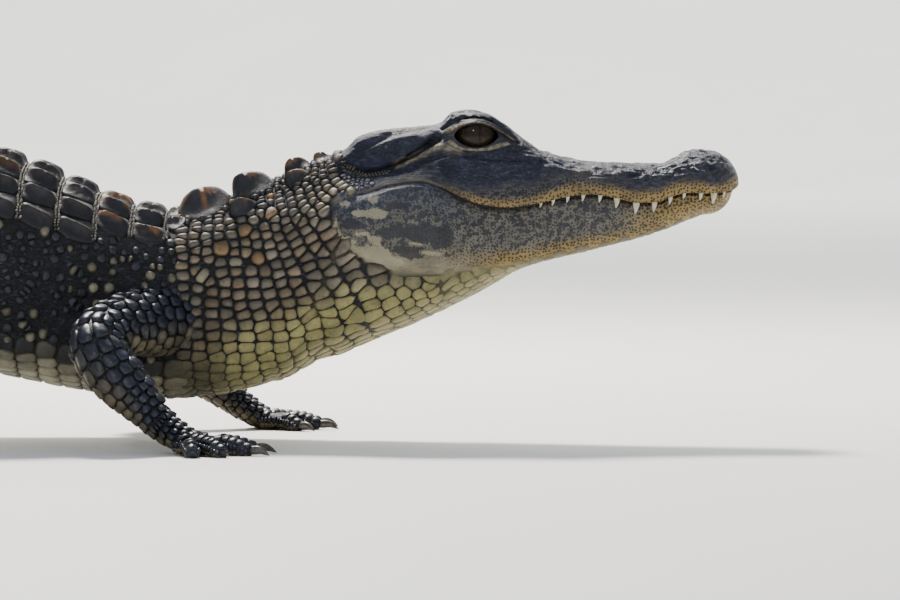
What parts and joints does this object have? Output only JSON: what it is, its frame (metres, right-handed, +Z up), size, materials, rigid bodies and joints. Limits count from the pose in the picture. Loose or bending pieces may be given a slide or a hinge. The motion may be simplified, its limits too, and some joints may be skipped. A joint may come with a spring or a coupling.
{
  "type": "american alligator",
  "caption": "Life-size still model of a young american alligator, standing low on four legs with its head raised and its tail laid on the floor in a long curve.",
  "frame": {"origin": "middle of the whole animal's box, seen from above, on the floor it stands on", "axes": "+X towards the snout, +Y to the animal's left, +Z up"},
  "size_m": [1.0463, 0.2893, 0.1313],
  "materials": {
    "dark_skin": "blue-black, glossy scaly skin with paler tops on the scales",
    "pale_skin": "yellow-tan skin with small black dots and grey-blue blotches",
    "eye": "wet, dark brown eyeball with an upright slit pupil",
    "claw": "dark polished horn"
  },
  "bodies": {
    "root": {"head": "dark_skin", "lower_jaw": "pale_skin", "eye_left": "eye", "eye_right": "eye", "neck": "dark_skin", "torso": "dark_skin", "hips": "dark_skin", "tail_base": "dark_skin", "tail_middle": "dark_skin", "tail_rear": "dark_skin", "tail_tip": "dark_skin", "front_left_upper_arm": "dark_skin", "front_left_forearm": "dark_skin", "front_left_hand": "dark_skin", "front_left_claw_1": "claw", "front_left_claw_2": "claw", "front_left_claw_3": "claw", "front_right_upper_arm": "dark_skin", "front_right_forearm": "dark_skin", "front_right_hand": "dark_skin", "front_right_claw_1": "claw", "front_right_claw_2": "claw", "front_right_claw_3": "claw", "hind_left_thigh": "dark_skin", "hind_left_shank": "dark_skin", "hind_left_foot": "dark_skin", "hind_left_claw_1": "claw", "hind_left_claw_2": "claw", "hind_left_claw_3": "claw", "hind_right_thigh": "dark_skin", "hind_right_shank": "dark_skin", "hind_right_foot": "dark_skin", "hind_right_claw_1": "claw", "hind_right_claw_2": "claw", "hind_right_claw_3": "claw"}
  },
  "joints": []
}
